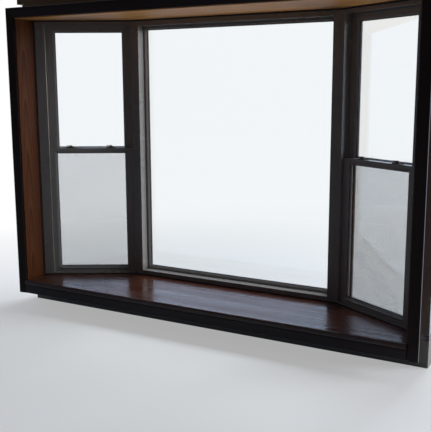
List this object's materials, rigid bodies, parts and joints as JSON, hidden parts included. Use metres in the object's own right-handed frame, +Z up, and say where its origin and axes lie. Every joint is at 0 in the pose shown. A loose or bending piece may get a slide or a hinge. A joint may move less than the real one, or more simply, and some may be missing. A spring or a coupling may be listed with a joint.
{
  "type": "bay window",
  "caption": "Angled bay window with a fixed centre light, double-hung flanking windows, wooden seat and head boards, interior casing and a low hipped roof.",
  "frame": {"origin": "middle of the seat's top, at the room face of the wall", "axes": "+X along the wall, +Y outdoors, away from the room, +Z up"},
  "size_m": [2.9712, 0.751, 2.4324],
  "materials": {
    "oiled_seat_wood": "semi-gloss varnish",
    "light_board_wood": "satin varnish",
    "jamb_wood": "satin varnish",
    "casing_wood": "satin dark stain",
    "frame_vinyl": "satin extruded vinyl",
    "sash_vinyl": "satin extruded vinyl",
    "window_glass": "clear sealed double glazing",
    "lock_metal": "baked enamel",
    "screen_bar": "painted roll-formed aluminium",
    "screen_cloth": "coated fibreglass mesh",
    "base_panel": "coated insulated panel",
    "trim_paint": "exterior paint",
    "soffit_paint": "exterior paint",
    "deck_wood": "raw framing and sheathing",
    "roof_shingle": "mineral-faced shingles",
    "hip_shingle": "mineral-faced hip shingles"
  },
  "bodies": {
    "root": {"seat_board": "oiled_seat_wood", "head_board": "light_board_wood", "left_side_jamb": "jamb_wood", "right_side_jamb": "jamb_wood", "left_casing": "casing_wood", "right_casing": "casing_wood", "head_casing": "casing_wood", "seat_apron": "casing_wood", "left_wall_post": "frame_vinyl", "right_wall_post": "frame_vinyl", "left_mullion": "frame_vinyl", "right_mullion": "frame_vinyl", "centre_frame": "frame_vinyl", "centre_sash": "sash_vinyl", "centre_glass": "window_glass", "left_frame": "frame_vinyl", "left_upper_sash": "sash_vinyl", "left_upper_glass": "window_glass", "left_lower_sash": "sash_vinyl", "left_lower_glass": "window_glass", "left_sash_locks": "lock_metal", "left_screen_frame": "screen_bar", "left_screen_cloth": "screen_cloth", "right_frame": "frame_vinyl", "right_upper_sash": "sash_vinyl", "right_upper_glass": "window_glass", "right_lower_sash": "sash_vinyl", "right_lower_glass": "window_glass", "right_sash_locks": "lock_metal", "right_screen_frame": "screen_bar", "right_screen_cloth": "screen_cloth", "base_platform": "base_panel", "left_skirt": "trim_paint", "centre_skirt": "trim_paint", "right_skirt": "trim_paint", "frieze": "trim_paint", "soffit": "soffit_paint", "fascia": "trim_paint", "roof_deck": "deck_wood", "left_roof_slope": "roof_shingle", "centre_roof_slope": "roof_shingle", "right_roof_slope": "roof_shingle", "hip_caps": "hip_shingle"}
  },
  "joints": []
}
